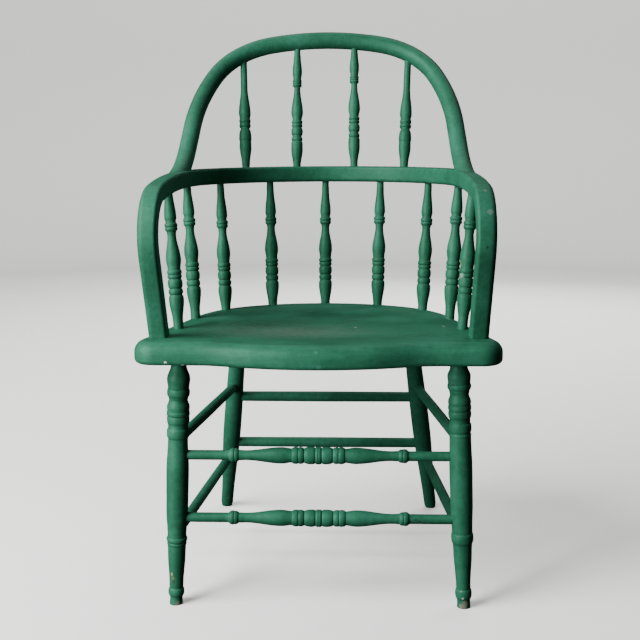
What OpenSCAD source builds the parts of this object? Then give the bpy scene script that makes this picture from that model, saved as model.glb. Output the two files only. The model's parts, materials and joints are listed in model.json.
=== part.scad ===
// Windsor armchair: a saddled plank seat, turned front legs, plain rear legs, a bent arm
// rail on nine turned spindles and a leaning back bow on four shorter ones.
// Millimetres. The floor is Z = 0, the sitter faces -Y and X = 0 is the plane of symmetry.

/* [Seat] */
// Widest part of the seat
seat_w = 533; // [505:1:555]
// Depth of the seat from front edge to back edge
seat_d = 409; // [405:1:440]
// Height of the seat's rim above the floor
seat_h = 413; // [380:1:450]
// Thickness of the plank
seat_t = 34; // [32:1:44]
// Radius of the back edge in plan, as a share of the seat's width
seat_back_share = 0.516; // [0.495:0.001:0.55]
// Radius of the two back shoulders in plan, as a share of the seat's width
seat_shoulder_share = 0.319; // [0.29:0.001:0.34]
// Taper of each side towards the back, in degrees
seat_taper = 14.5; // [11:0.5:16]
// Radius of the two front corners in plan
seat_corner_r = 32; // [22:1:42]
// Radius of the bowed middle of the front edge in plan
seat_front_r = 400; // [360:5:460]
// Radius of the reverse curves that lead from the bowed middle to the straight wings
seat_reverse_r = 150; // [120:5:180]
// How far the bowed middle stands in front of the wings
seat_bow = 30; // [24:0.5:34]
// Height of the soft roll over the top edge
seat_top_roll = 18; // [10:1:20]
// Radius of the bottom edge
seat_bottom_roll = 7; // [4:1:10]
// Depth of the saddled hollow
dish_depth = 7; // [3:0.5:10]
// Length of the saddled hollow across the seat
dish_w = 400; // [340:5:420]
// Length of the saddled hollow from front to back
dish_l = 280; // [240:5:300]
// Distance from the seat's front edge to the middle of the hollow
dish_y = 205; // [190:1:220]

/* [Front legs] */
// Spacing of the front legs at the seat
front_leg_top_gap = 409; // [380:1:425]
// Spacing of the front feet on the floor
front_foot_gap = 437; // [400:1:470]
// Distance of the front legs behind the front edge, at the seat
front_leg_top_y = 79; // [70:1:95]
// Distance of the front feet behind the front edge, on the floor
front_foot_y = 73; // [55:1:90]
// Diameter of the leg's neck and tenon
front_leg_tenon_d = 24; // [20:0.5:26]
// Depth of the leg's tenon in the seat
leg_tenon_l = 24; // [16:1:26]

/* [Rear legs] */
// Spacing of the rear legs at the seat
rear_leg_top_gap = 288; // [260:1:310]
// Spacing of the rear feet on the floor
rear_foot_gap = 391; // [350:1:430]
// Distance of the rear legs behind the front edge, at the seat
rear_leg_top_y = 328; // [315:1:345]
// Distance of the rear feet behind the front edge, on the floor
rear_foot_y = 513; // [480:1:540]
// Diameter of the rear leg's tenon
rear_leg_top_d = 27; // [23:0.5:30]
// Diameter of the rear leg where it is thickest
rear_leg_mid_d = 30.5; // [28:0.5:35]
// Diameter of the rear foot
rear_foot_d = 19.5; // [16:0.5:24]

/* [Stretchers] */
// Height of the upper front stretcher
front_upper_z = 234; // [228:1:245]
// Height of the lower front stretcher
front_lower_z = 137; // [132:1:150]
// Diameter of the front stretchers' plain ends
front_rod_d = 13.6; // [12:0.2:15]
// Height of the upper rear stretcher
rear_upper_z = 245; // [238:1:252]
// Height of the lower rear stretcher
rear_lower_z = 147; // [142:1:156]
// Diameter of the rear stretchers
rear_rod_d = 17; // [14:0.5:18]
// Height of the upper side stretchers at the front leg
side_upper_front_z = 257; // [255:1:270]
// Height of the upper side stretchers at the rear leg
side_upper_rear_z = 267; // [264:1:280]
// Height of the lower side stretchers at the front leg
side_lower_front_z = 113; // [100:1:118]
// Height of the lower side stretchers at the rear leg
side_lower_rear_z = 116; // [100:1:124]
// Diameter of the side stretchers
side_rod_d = 15; // [13:0.5:16]

/* [Arm rail] */
// Height of the arm rail's centre line at the back
rail_z = 635; // [600:1:660]
// Width of the bent arm's section
rail_w = 27.5; // [26:0.5:32]
// Height of the bent arm's section
rail_h = 26.5; // [25:0.5:30]
// Radius of the section's four corners
rail_corner_r = 8; // [5:0.5:11]
// Distance of the rail's back centre line behind the seat's front edge
rail_back_y = 431; // [422:1:445]
// Radius of the rail behind the sitter
rail_back_r = 235; // [225:1:245]
// Radius of the rail's two rear corners
rail_shoulder_r = 176; // [165:1:185]
// Length of each forearm, from the rear corner to the elbow
forearm_l = 176; // [160:1:190]
// Radius of each elbow
elbow_r = 65; // [52:1:70]
// Backward lean of each arm post, in degrees
post_lean = 19; // [14:0.5:22]
// Diameter of the arm post's tenon
post_tenon_d = 20; // [16:0.5:22]
// Depth of the arm post's tenon in the seat
post_tenon_l = 24; // [16:1:27]

/* [Back bow] */
// Diameter of the bow
bow_d = 29; // [26:0.5:32]
// Height of the bow's centre line at the crown
crown_z = 864.5; // [850:0.5:880]
// Distance of the crown behind the seat's front edge
crown_y = 479; // [470:1:492]
// Lean of the bow's plane, in degrees
bow_lean = 44; // [42:0.5:46]
// Radius of the crown
crown_r = 395; // [375:5:415]
// Radius of the bow's two shoulders
bow_shoulder_r = 137; // [130:1:140]
// Radius of the bow's two flanks
bow_flank_r = 340; // [315:5:345]
// Straight length of the bow above each foot
bow_straight_l = 52; // [40:1:60]
// Radius of the sweep that lays each foot along the arm
bow_foot_r = 150; // [135:1:165]

/* [Spindles] */
// Spacing of the lower spindles at the seat
lower_gap_seat = 93.5; // [86:0.5:96]
// Spacing of the lower spindles along the arm rail
lower_gap_rail = 98.5; // [92:0.5:101]
// Distance of the spindle line's back behind the seat's front edge
spindle_back_y = 398; // [385:1:400]
// Radius of the spindle line behind the sitter
spindle_back_r = 220; // [212:1:230]
// Radius of the spindle line's two rear corners
spindle_shoulder_r = 165; // [158:1:172]
// Diameter of the lower spindles at the seat
lower_foot_d = 16.4; // [14:0.2:18]
// Diameter of the lower spindles' necks at the rail
lower_neck_d = 11.4; // [10:0.2:12.6]
// Depth of the lower spindles' tenons in the seat
spindle_tenon_l = 18; // [12:1:22]
// Distance of the inner upper spindles from the middle, along rail and bow
upper_inner_gap = 50; // [40:1:60]
// Distance of the outer upper spindles from the middle, along the rail
upper_outer_rail = 143; // [136:1:150]
// Distance of the outer upper spindles from the middle, along the bow
upper_outer_bow = 149; // [142:1:156]
// Diameter of the upper spindles at the rail
upper_foot_d = 13.2; // [11:0.2:14]
// Diameter of the upper spindles' necks at the bow
upper_neck_d = 10.2; // [9:0.2:11.4]

/* [Joints] */
// Gap between each round tenon and its socket, on the radius
fit = 0.15; // [0.1:0.05:0.3]
// Gap beyond the end of each tenon
end_gap = 0.6; // [0.4:0.1:1.5]
// Height of the scarf's flat above the rail's centre line
scarf_rise = 4; // [3:0.5:6]
// Diameter of the scarf screws' shanks
screw_d = 4; // [3:0.5:5]
// Diameter of the scarf screws' heads
screw_head_d = 7.6; // [6:0.2:9]

/* [Hidden] */

$fn = 48;
// Points round a round bar, steps round a section's corner and degrees between rings.
bar_sides = 20;
corner_steps = 4;
bar_step = 8;
roll_steps = 4;
dish_steps = 8;
dish_sides = 48;
paint = "#2f7a58";
paint_shade = "#28684c";
steel = "#9a9c9e";

// The origin lies under the middle of the whole chair, which reaches from the seat's
// front edge to the backs of the rear feet.
rear_foot_reach = rear_foot_y + rear_foot_d / 2 + 0.9;
front_y = -rear_foot_reach / 2;
seat_under = seat_h - seat_t;

// Points that a leg's centre line passes through; side is -1 on the left, 1 on the right.
function front_foot(side) = [side * front_foot_gap / 2, front_y + front_foot_y, 0];
function front_top(side) = [side * front_leg_top_gap / 2, front_y + front_leg_top_y, seat_under];
function rear_foot(side) = [side * rear_foot_gap / 2, front_y + rear_foot_y, 0];
function rear_top(side) = [side * rear_leg_top_gap / 2, front_y + rear_leg_top_y, seat_under];
function at_height(foot, top, z) = foot + (top - foot) * z / top[2];

// Rigid frames: each is a 4 by 4 matrix whose third column is the way along a bent bar.
function turn_z(a) = [[cos(a), -sin(a), 0, 0], [sin(a), cos(a), 0, 0], [0, 0, 1, 0], [0, 0, 0, 1]];
function turn_y(a) = [[cos(a), 0, sin(a), 0], [0, 1, 0, 0], [-sin(a), 0, cos(a), 0], [0, 0, 0, 1]];
function shift(v) = [[1, 0, 0, v[0]], [0, 1, 0, v[1]], [0, 0, 1, v[2]], [0, 0, 0, 1]];
function spot(frame) = [frame[0][3], frame[1][3], frame[2][3]];
function heading(frame) = [frame[0][2], frame[1][2], frame[2][2]];

// A bent bar is a list of moves. A move is [radius, angle, side of the bend], and a
// straight one has radius 0 and its length in place of the angle.
function move_length(m) = m[0] == 0 ? m[1] : m[0] * m[1] * PI / 180;
function after(m, s) = m[0] == 0 ? shift([0, 0, s])
    : let (a = s / m[0] * 180 / PI)
        turn_z(m[2]) * shift([m[0] * (1 - cos(a)), 0, m[0] * sin(a)]) * turn_y(a) * turn_z(-m[2]);
function frame_at(start, moves, s, i = 0) = i >= len(moves) ? start
    : let (l = move_length(moves[i]))
        s <= l || i == len(moves) - 1 ? start * after(moves[i], s)
            : frame_at(start * after(moves[i], l), moves, s - l, i + 1);
function length_before(moves, i) = i == 0 ? 0 : move_length(moves[i - 1]) + length_before(moves, i - 1);

// One half of the arm rail, from the middle of the back to below the seat's top.
rail_turn_back = 47.8;
rail_turn_shoulder = 32.8;
forearm_inward_r = 1400;
forearm_droop_r = 1200;
forearm_r = 1 / sqrt(1 / pow(forearm_inward_r, 2) + 1 / pow(forearm_droop_r, 2));
forearm_side = atan2(forearm_inward_r, forearm_droop_r);
forearm_turn = forearm_l / forearm_r * 180 / PI;
elbow_turn = 90 + post_lean - forearm_l / forearm_droop_r * 180 / PI;
rail_start = [[0, 0, 1, 0], [-1, 0, 0, front_y + rail_back_y], [0, -1, 0, rail_z], [0, 0, 0, 1]];
rail_bends = [[rail_back_r, rail_turn_back, 0], [rail_shoulder_r, rail_turn_shoulder, 0],
    [forearm_r, forearm_turn, forearm_side], [elbow_r, elbow_turn, 90]];
elbow_end = frame_at(rail_start, rail_bends, length_before(rail_bends, 4));
post_l = (spot(elbow_end)[2] - seat_h) / -heading(elbow_end)[2];
rail_moves = concat(rail_bends, [[0, post_l + rail_h, 0]]);
post_foot = spot(elbow_end) + heading(elbow_end) * post_l;

// One half of the back bow, from the crown to the feathered tip on the arm.
crown_turn = 14;
bow_shoulder_turn = 52;
bow_flank_turn = 20;
bow_foot_turn = 30;
bow_tip_l = 80;
bow_start = [[0, 0, 1, 0],
    [-sin(bow_lean), cos(bow_lean), 0, front_y + crown_y],
    [-cos(bow_lean), -sin(bow_lean), 0, crown_z],
    [0, 0, 0, 1]];
bow_moves = [[crown_r, crown_turn, 0], [bow_shoulder_r, bow_shoulder_turn, 0],
    [bow_flank_r, bow_flank_turn, 0], [0, bow_straight_l, 0],
    [bow_foot_r, bow_foot_turn, -90], [0, bow_tip_l, 0]];
scarf_z = rail_z + scarf_rise;

// The line of the lower spindles on the seat, which follows the rail above it.
spindle_start = [[0, 0, 1, 0], [-1, 0, 0, front_y + spindle_back_y], [0, -1, 0, seat_h], [0, 0, 0, 1]];
spindle_moves = [[spindle_back_r, rail_turn_back, 0], [spindle_shoulder_r, rail_turn_shoulder, 0],
    [forearm_inward_r, 10, 0]];

// A point at a distance from the middle; a negative distance lies on the left.
function mirrored(p, s) = [s < 0 ? -p[0] : p[0], p[1], p[2]];
function on_bar(start, moves, s) = mirrored(spot(frame_at(start, moves, abs(s))), s);
function lower_foot(i) = on_bar(spindle_start, spindle_moves, (i - 5) * lower_gap_seat);
function lower_head(i) = on_bar(rail_start, rail_moves, (i - 5) * lower_gap_rail);
upper_rail_s = [-upper_outer_rail, -upper_inner_gap, upper_inner_gap, upper_outer_rail];
upper_bow_s = [-upper_outer_bow, -upper_inner_gap, upper_inner_gap, upper_outer_bow];
function upper_foot(i) = on_bar(rail_start, rail_moves, upper_rail_s[i - 1]);
function upper_head(i) = on_bar(bow_start, bow_moves, upper_bow_s[i - 1]);

// A turned outline is a list of rows [length, diameter at the end, extra at the middle].
// A row with an extra is a rounded bead, and a row with none is a smooth sweep.
function sweep(t) = (1 - cos(180 * t)) / 2;
function bead(t) = sqrt(1 - pow(2 * t - 1, 2));
function row_d(row, d0, t) = row[2] == 0 ? d0 + (row[1] - d0) * sweep(t)
    : d0 + (row[1] - d0) * t + row[2] * bead(t);
function rows_length(rows, i = 0) = i >= len(rows) ? 0 : rows[i][0] + rows_length(rows, i + 1);
function outline(rows, d0, k, z = 0, i = 0) = i >= len(rows) ? []
    : let (row = rows[i])
        concat([for (n = [1:7]) [row_d(row, d0, n / 7) / 2, z + k * row[0] * n / 7]],
            outline(rows, row[1], k, z + k * row[0], i + 1));

lower_rows = [[4, lower_foot_d, 0], [30, 22.1, 0], [5.5, 19.2, 0],
    [11.5, 19.2, 3], [13.5, 18.2, 4], [7, 20.6, 2.4], [9, 18.8, 2.8],
    [13, 21.7, 0], [40, 12.3, 0],
    [3, 14.4, 0], [7.5, 17, 3.4], [8.5, 15.6, 3], [7, 17.9, 0], [38, lower_neck_d, 0],
    [12, lower_neck_d, 0]];
upper_rows = [[5, upper_foot_d, 0], [30, 19.3, 0], [9, 15.9, 0],
    [9, 16.6, 2.8], [14, 15.2, 3.6], [8.5, 17, 2.2], [8.5, 15.6, 3],
    [11, 18.9, 0], [44, 9.8, 0],
    [3, 12, 0], [6, 14.2, 3], [7, 12.5, 2.6], [8, 14.7, 0], [30, upper_neck_d, 0],
    [14, upper_neck_d, 0]];
upper_short_rows = [[5, upper_foot_d, 0], [30, 19.6, 0], [9, 17.4, 0],
    [9, 17.8, 2], [14, 16, 3.6], [8.5, 18, 1.6], [8.5, 16.8, 2.6],
    [11, 19.3, 0], [38, 11.4, 0], [40, upper_neck_d, 0], [4, upper_neck_d, 0]];
front_leg_rows = [[6, front_leg_tenon_d, 0], [22.5, 33, 0], [9.5, 30.6, 0], [12.5, 28.4, 3.4],
    [5, 26.7, 0], [10.5, 32.7, 0], [6, 31.6, 0], [8.5, 31.6, 1.2], [10.5, 30.6, 1.6],
    [5, 28.6, 0], [3.5, 29.2, 0], [13, 29.6, 2.9], [2.5, 29.4, 0],
    [50, 32.8, 0], [55, 32, 0], [46, 27.6, 0],
    [1.5, 28.2, 0], [14, 27.4, 3.4], [3.5, 26.6, 0], [8, 25.4, 0], [54.5, 20, 0],
    [4.5, 19.2, 0], [14.5, 18.8, 4.4], [5, 18.2, 0], [8, 18.8, 0]];
rear_leg_rows = [[130, rear_leg_mid_d, 0], [75, rear_leg_mid_d, 0], [213, rear_foot_d, 0]];
half_front_rows = [[4.8, 21.4, 2.4], [16.5, 19.4, 4.4], [8.5, 21.8, 3.2], [9.6, 20, 3.2],
    [15, 23.4, 0], [54, 13.7, 0], [10, 14.4, 0], [6.5, 17.8, 2.6], [7.5, 15, 3.4],
    [2, front_rod_d, 0]];

// Places children with +Z along the way from one point to another.
module along(a, b) {
    d = b - a;
    translate(a)
        rotate([0, acos(d[2] / norm(d)), atan2(d[1], d[0])])
            children();
}

// A round hole or rod between two points, longer by the ends given. The turn keeps the
// line where its round face closes off the edges of what it cuts.
module rod(a, b, d, before = 0, beyond = 0) {
    seam_turn = 25;
    along(a, b) translate([0, 0, -before]) rotate([0, 0, seam_turn])
        cylinder(h = norm(b - a) + before + beyond, d = d);
}

// A turned piece that stands on +Z: a plain tenon, the turned rows and a plain end.
module turned(rows, d0, shown, tenon, end) {
    k = shown / rows_length(rows);
    last_d = rows[len(rows) - 1][1];
    rotate_extrude($fn = 64)
        polygon(concat([[0, -tenon], [d0 / 2, -tenon], [d0 / 2, 0]], outline(rows, d0, k),
            [[last_d / 2, shown + end], [0, shown + end]]));
}

// A closed skin through rings of points, with a flat face at each end.
module loft(rings) {
    n = len(rings[0]);
    last = len(rings) - 1;
    polyhedron(
        points = [for (ring = rings) for (p = ring) p],
        faces = concat([[for (j = [n - 1:-1:0]) j]],
            [for (i = [0:last - 1], j = [0:n - 1], half = [0, 1])
                let (k = (j + 1) % n, p = i * n, q = p + n)
                    half == 0 ? [p + j, p + k, q + k] : [p + j, q + k, q + j]],
            [[for (j = [0:n - 1]) last * n + j]]));
}

// Sections of a bent bar, as points round the frame's own Z.
function round_section(d) = [for (j = [0:bar_sides - 1]) d / 2 * [sin(360 * j / bar_sides),
    cos(360 * j / bar_sides)]];
function boxed_section(w, h, r) = [for (corner = [0:3], j = [0:corner_steps])
    let (a = 90 * (corner + j / corner_steps), sx = corner < 2 ? 1 : -1,
        sy = corner == 0 || corner == 3 ? 1 : -1)
    [sx * (w / 2 - r) + r * sin(a), sy * (h / 2 - r) + r * cos(a)]];

// Distances along a bent bar at which it gets a ring.
function stations(moves) = [for (i = [0:len(moves) - 1])
    let (n = moves[i][0] == 0 ? 1 : ceil(moves[i][1] / bar_step))
    for (j = [0:n - 1]) length_before(moves, i) + move_length(moves[i]) * j / n];
function half_rings(start, moves, section, from) = [for (s = concat(
        [for (s = stations(moves)) if (s >= from) s], [length_before(moves, len(moves))]))
    let (f = frame_at(start, moves, s))
    [for (p = section) let (q = f * [p[0], p[1], 0, 1]) [q[0], q[1], q[2]]]];
function mirrored_ring(ring) = [for (p = ring) [-p[0], p[1], p[2]]];

// A bar bent alike on both sides of X = 0, from tip to tip.
module bent_bar(start, moves, section) {
    right = half_rings(start, moves, section, 0);
    left = [for (i = [len(right) - 1:-1:1]) mirrored_ring(right[i])];
    loft(concat(left, right));
}

// What lies above a height in the bow's two feet, or in the whole bow.
module above(z) {
    difference() {
        children();
        translate([-seat_w, front_y - seat_d, z - crown_z])
            cube([2 * seat_w, 3 * seat_d, crown_z]);
    }
}

module bow_feet(d) {
    rings = half_rings(bow_start, bow_moves, round_section(d), length_before(bow_moves, 3));
    loft(rings);
    loft([for (i = [len(rings) - 1:-1:0]) mirrored_ring(rings[i])]);
}

// The seat's outline: a bowed front between two straight wings, two small corners, tapered
// sides and a round back.
seat_back_r = seat_w * seat_back_share;
seat_shoulder_r = seat_w * seat_shoulder_share;
corner_x = seat_w / 2 - seat_corner_r;
corner_y = seat_bow + seat_corner_r;
side_c = corner_x * cos(seat_taper) + corner_y * sin(seat_taper) + seat_corner_r;
back_cy = seat_d - seat_back_r;
shoulder_a = asin((side_c - seat_shoulder_r - back_cy * sin(seat_taper))
    / (seat_back_r - seat_shoulder_r)) - seat_taper;
shoulder_x = (seat_back_r - seat_shoulder_r) * sin(shoulder_a);
shoulder_y = back_cy + (seat_back_r - seat_shoulder_r) * cos(shoulder_a);
front_reach = seat_front_r + seat_reverse_r;
front_a = acos((front_reach - seat_bow) / front_reach);
reverse_x = front_reach * sin(front_a);
function arc(cx, cy, r, a0, a1, n) = [for (i = [0:n - 1]) let (a = a0 + (a1 - a0) * i / n)
    [cx + r * sin(a), front_y + cy + r * cos(a)]];
function seat_half(inset) = concat(
    arc(0, back_cy, seat_back_r - inset, 0, shoulder_a, 6),
    arc(shoulder_x, shoulder_y, seat_shoulder_r - inset, shoulder_a, 90 - seat_taper, 9),
    [[shoulder_x + (seat_shoulder_r - inset) * cos(seat_taper),
        front_y + shoulder_y + (seat_shoulder_r - inset) * sin(seat_taper)]],
    arc(corner_x, corner_y, seat_corner_r - inset, 90 - seat_taper, 180, 8),
    [[corner_x, front_y + seat_bow + inset]],
    arc(reverse_x, seat_bow - seat_reverse_r, seat_reverse_r + inset, 0, -front_a, 5),
    arc(0, seat_front_r, seat_front_r - inset, 180 - front_a, 180, 8),
    [[0, front_y + inset]]);
function seat_ring(inset, z) = let (half = seat_half(inset), n = len(half)) concat(
    [for (p = half) [p[0], p[1], z]],
    [for (i = [n - 2:-1:1]) [-half[i][0], half[i][1], z]]);

// The plank, with a soft roll over its top edge and a small one under it.
module seat_blank() {
    loft(concat(
        [for (i = [0:roll_steps]) let (a = 90 * i / roll_steps)
            seat_ring(seat_bottom_roll * (1 - sin(a)), seat_under + seat_bottom_roll * (1 - cos(a)))],
        [for (i = [roll_steps:-1:0]) let (a = 90 * i / roll_steps)
            seat_ring(seat_top_roll * (1 - sin(a)), seat_h - seat_top_roll * (1 - cos(a)))]));
}

// The saddled hollow, deepest in its middle and shallow at its oval rim.
module seat_dish() {
    rim = 1.1;
    loft([for (i = [1:dish_steps]) let (t = rim * i / dish_steps)
        [for (j = [0:dish_sides - 1]) let (a = -360 * j / dish_sides)
            [dish_w / 2 * t * cos(a), front_y + dish_y + dish_l / 2 * t * sin(a),
                seat_h - dish_depth * (1 - t * t)]]]);
}

module seat() {
    color(paint) difference() {
        seat_blank();
        seat_dish();
        for (side = [-1, 1]) {
            rod(front_foot(side), front_top(side), front_leg_tenon_d + 2 * fit, 0,
                leg_tenon_l + end_gap);
            rod(rear_foot(side), rear_top(side), rear_leg_top_d + 2 * fit, 0,
                leg_tenon_l + end_gap);
            post = mirrored(post_foot, side);
            along(post, post + mirrored(heading(elbow_end), side))
                translate([0, 0, -post_tenon_l])
                    cylinder(h = 2 * post_tenon_l + end_gap, d = post_tenon_d + 2 * fit);
        }
        for (i = [1:9])
            rod(lower_foot(i), lower_head(i), lower_foot_d + 2 * fit,
                spindle_tenon_l + end_gap);
    }
}

// Removes what would lie below the floor.
module above_floor() {
    difference() {
        children();
        translate([-seat_w, front_y - seat_d, -seat_h]) cube([2 * seat_w, 3 * seat_d, seat_h]);
    }
}

// The left leg of each pair is made, and the right one is its mirror image.
module front_leg() {
    below = 2;
    foot = front_foot(-1);
    top = front_top(-1);
    color(paint) difference() {
        above_floor()
            along(top, foot)
                turned(front_leg_rows, front_leg_tenon_d, norm(top - foot), leg_tenon_l, below);
        for (z = [front_upper_z, front_lower_z])
            rod(at_height(foot, top, z), at_height(front_foot(1), front_top(1), z),
                front_rod_d + 2 * fit, end_gap);
        for (ends = [[side_upper_front_z, side_upper_rear_z], [side_lower_front_z, side_lower_rear_z]])
            rod(at_height(foot, top, ends[0]), at_height(rear_foot(-1), rear_top(-1), ends[1]),
                side_rod_d + 2 * fit, end_gap);
    }
}

module rear_leg() {
    below = 12;
    foot = rear_foot(-1);
    top = rear_top(-1);
    color(paint) difference() {
        above_floor()
            along(top, foot)
                turned(rear_leg_rows, rear_leg_top_d, norm(top - foot), leg_tenon_l, below);
        for (z = [rear_upper_z, rear_lower_z])
            rod(at_height(foot, top, z), at_height(rear_foot(1), rear_top(1), z),
                rear_rod_d + 2 * fit, end_gap);
        for (ends = [[side_upper_front_z, side_upper_rear_z], [side_lower_front_z, side_lower_rear_z]])
            rod(at_height(foot, top, ends[1]), at_height(front_foot(-1), front_top(-1), ends[0]),
                side_rod_d + 2 * fit, end_gap);
    }
}

// A front stretcher, turned alike on both sides of its middle bead.
module front_stretcher(z) {
    a = at_height(front_foot(-1), front_top(-1), z);
    b = at_height(front_foot(1), front_top(1), z);
    half = norm(b - a) / 2;
    middle_d = 24;
    turned_l = rows_length(half_front_rows);
    color(paint_shade) for (end = [a, b])
        along((a + b) / 2, end)
            turned(half_front_rows, middle_d, turned_l, 0, half - turned_l);
}

module rear_stretcher(z) {
    color(paint_shade)
        rod(at_height(rear_foot(-1), rear_top(-1), z), at_height(rear_foot(1), rear_top(1), z),
            rear_rod_d);
}

module side_stretcher(side, front_z, rear_z) {
    color(paint_shade)
        rod(at_height(front_foot(side), front_top(side), front_z),
            at_height(rear_foot(side), rear_top(side), rear_z), side_rod_d);
}

// The scarf screws go up through the arm into the bow's feet, at two places a side.
screw_s = [280, 318];
screw_l = 26;
screw_sink = 5;
function screw_low(s) = on_bar(rail_start, rail_moves, s) - [0, 0, rail_h / 2 - screw_sink];

module screw(p, grow, end) {
    head_h = (screw_head_d - screw_d) / 2;
    translate(p) {
        translate([0, 0, -grow]) cylinder(h = head_h + grow, d1 = screw_head_d + 2 * grow,
            d2 = screw_d + 2 * grow);
        cylinder(h = screw_l + end, d = screw_d + 2 * grow);
    }
}

module screw_holes() {
    for (side = [-1, 1], s = screw_s) {
        screw(screw_low(side * s), fit, end_gap);
        translate(screw_low(side * s) - [0, 0, rail_h])
            cylinder(h = rail_h, d = screw_head_d + 2 * fit);
    }
}

module scarf_screws() {
    color(steel) for (side = [-1, 1], s = screw_s) screw(screw_low(side * s), 0, 0);
}

module arm_rail() {
    color(paint) {
        difference() {
            bent_bar(rail_start, rail_moves, boxed_section(rail_w, rail_h, rail_corner_r));
            translate([-seat_w, front_y - seat_d, 0]) cube([2 * seat_w, 3 * seat_d, seat_h + fit]);
            for (i = [1:9])
                rod(lower_foot(i), lower_head(i), lower_neck_d + 2 * fit, 0, end_gap);
            for (i = [1:4])
                rod(upper_head(i), upper_foot(i), upper_foot_d + 2 * fit, 0, end_gap);
            above(scarf_z) bow_feet(bow_d + 2 * fit);
            screw_holes();
        }
        for (side = [-1, 1]) {
            post = mirrored(post_foot, side);
            along(post, post + mirrored(heading(elbow_end), side))
                translate([0, 0, -post_tenon_d / 2])
                    cylinder(h = post_tenon_l + post_tenon_d / 2, d = post_tenon_d);
        }
    }
}

module back_bow() {
    color(paint) difference() {
        above(scarf_z + fit) bent_bar(bow_start, bow_moves, round_section(bow_d));
        for (i = [1:4])
            rod(upper_foot(i), upper_head(i), upper_neck_d + 2 * fit, 0, end_gap);
        screw_holes();
    }
}

module lower_spindle(i) {
    a = lower_foot(i);
    b = lower_head(i);
    hidden = rail_h / 2 * norm(b - a) / (b[2] - a[2]);
    color(paint_shade) along(a, b)
        turned(lower_rows, lower_foot_d, norm(b - a) - hidden, spindle_tenon_l, hidden);
}

module upper_spindle(i, rows) {
    a = upper_foot(i);
    b = upper_head(i);
    hidden = rail_h / 2 * norm(b - a) / (b[2] - a[2]);
    start = a + (b - a) * hidden / norm(b - a);
    color(paint_shade) along(start, b)
        turned(rows, upper_foot_d, norm(b - start) - bow_d / 2, hidden, bow_d / 2);
}

seat();
front_leg();  // front_leg_left
mirror([1, 0, 0]) front_leg();  // front_leg_right
rear_leg();  // rear_leg_left
mirror([1, 0, 0]) rear_leg();  // rear_leg_right
front_stretcher(front_upper_z);  // front_stretcher_upper
front_stretcher(front_lower_z);  // front_stretcher_lower
rear_stretcher(rear_upper_z);  // rear_stretcher_upper
rear_stretcher(rear_lower_z);  // rear_stretcher_lower
side_stretcher(-1, side_upper_front_z, side_upper_rear_z);  // side_stretcher_upper_left
side_stretcher(1, side_upper_front_z, side_upper_rear_z);  // side_stretcher_upper_right
side_stretcher(-1, side_lower_front_z, side_lower_rear_z);  // side_stretcher_lower_left
side_stretcher(1, side_lower_front_z, side_lower_rear_z);  // side_stretcher_lower_right
arm_rail();
back_bow();
scarf_screws();
lower_spindle(1);  // lower_spindle_1
lower_spindle(2);  // lower_spindle_2
lower_spindle(3);  // lower_spindle_3
lower_spindle(4);  // lower_spindle_4
lower_spindle(5);  // lower_spindle_5
lower_spindle(6);  // lower_spindle_6
lower_spindle(7);  // lower_spindle_7
lower_spindle(8);  // lower_spindle_8
lower_spindle(9);  // lower_spindle_9
upper_spindle(1, upper_short_rows);  // upper_spindle_1
upper_spindle(2, upper_rows);  // upper_spindle_2
upper_spindle(3, upper_rows);  // upper_spindle_3
upper_spindle(4, upper_short_rows);  // upper_spindle_4
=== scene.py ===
"""Looks of an old green Windsor armchair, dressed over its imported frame.

The chair stands on the floor at the origin and the sitter faces -Y. The dataclasses
give the chair's sizes in millimetres and the studio's in metres. Meshes are in metres.
"""

import json
import logging
import math
from collections.abc import Callable
from dataclasses import dataclass
from enum import Enum

import bpy
from mathutils import Matrix, Vector

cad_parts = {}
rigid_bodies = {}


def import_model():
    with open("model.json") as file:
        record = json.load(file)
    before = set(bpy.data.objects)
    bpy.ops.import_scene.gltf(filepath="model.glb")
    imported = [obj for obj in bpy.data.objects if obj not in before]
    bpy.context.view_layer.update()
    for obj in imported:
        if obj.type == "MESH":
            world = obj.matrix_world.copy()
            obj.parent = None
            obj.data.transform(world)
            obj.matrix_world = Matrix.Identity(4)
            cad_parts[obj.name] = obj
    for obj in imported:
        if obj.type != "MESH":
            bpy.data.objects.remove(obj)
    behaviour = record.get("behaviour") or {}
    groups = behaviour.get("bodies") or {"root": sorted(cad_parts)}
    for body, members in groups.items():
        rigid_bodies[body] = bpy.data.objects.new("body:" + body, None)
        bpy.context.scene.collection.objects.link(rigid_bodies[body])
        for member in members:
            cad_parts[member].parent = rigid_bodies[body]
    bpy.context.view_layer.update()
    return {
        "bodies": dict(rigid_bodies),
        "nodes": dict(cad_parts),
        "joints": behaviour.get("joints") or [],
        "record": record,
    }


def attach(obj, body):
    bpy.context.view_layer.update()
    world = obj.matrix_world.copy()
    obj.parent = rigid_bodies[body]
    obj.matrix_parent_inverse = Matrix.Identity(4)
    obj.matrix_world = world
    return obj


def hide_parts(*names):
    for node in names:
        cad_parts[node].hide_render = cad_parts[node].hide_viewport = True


LOG = logging.getLogger("armchair")
BODY = "root"
MM = 0.001
# Points closer than about a hair's width count as one place.
HAIR = 0.1 * MM
# A colour mix's sockets go by number, because its inputs share their names.
MIX_SHARE, MIX_A, MIX_B, MIX_OUT = 0, 6, 7, 2
Socket = bpy.types.NodeSocket
Tree = bpy.types.NodeTree
Ties = dict[str, tuple[Vector, Vector]]


class Tint(Enum):
    """What shows at a mark in the paint, as an sRGB colour."""

    BARE_WOOD = "#635a3c"
    FRESH_WOOD = "#86825a"
    GREY_WOOD = "#33362e"
    # Dark grime; at the lower spindles' feet it is painted contact shade.
    DIRT = "#22302a"
    UNDERCOAT = "#64685a"
    PALE_UNDERCOAT = "#8f9484"
    PUTTY = "#8b968c"
    DUST = "#93a698"
    SPLASH = "#bcc8bc"
    SCUFF = "#336653"
    RUBBED = "#4a6758"
    THIN_PAINT = "#58684c"
    CHALKED = "#6a8a7b"


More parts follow.
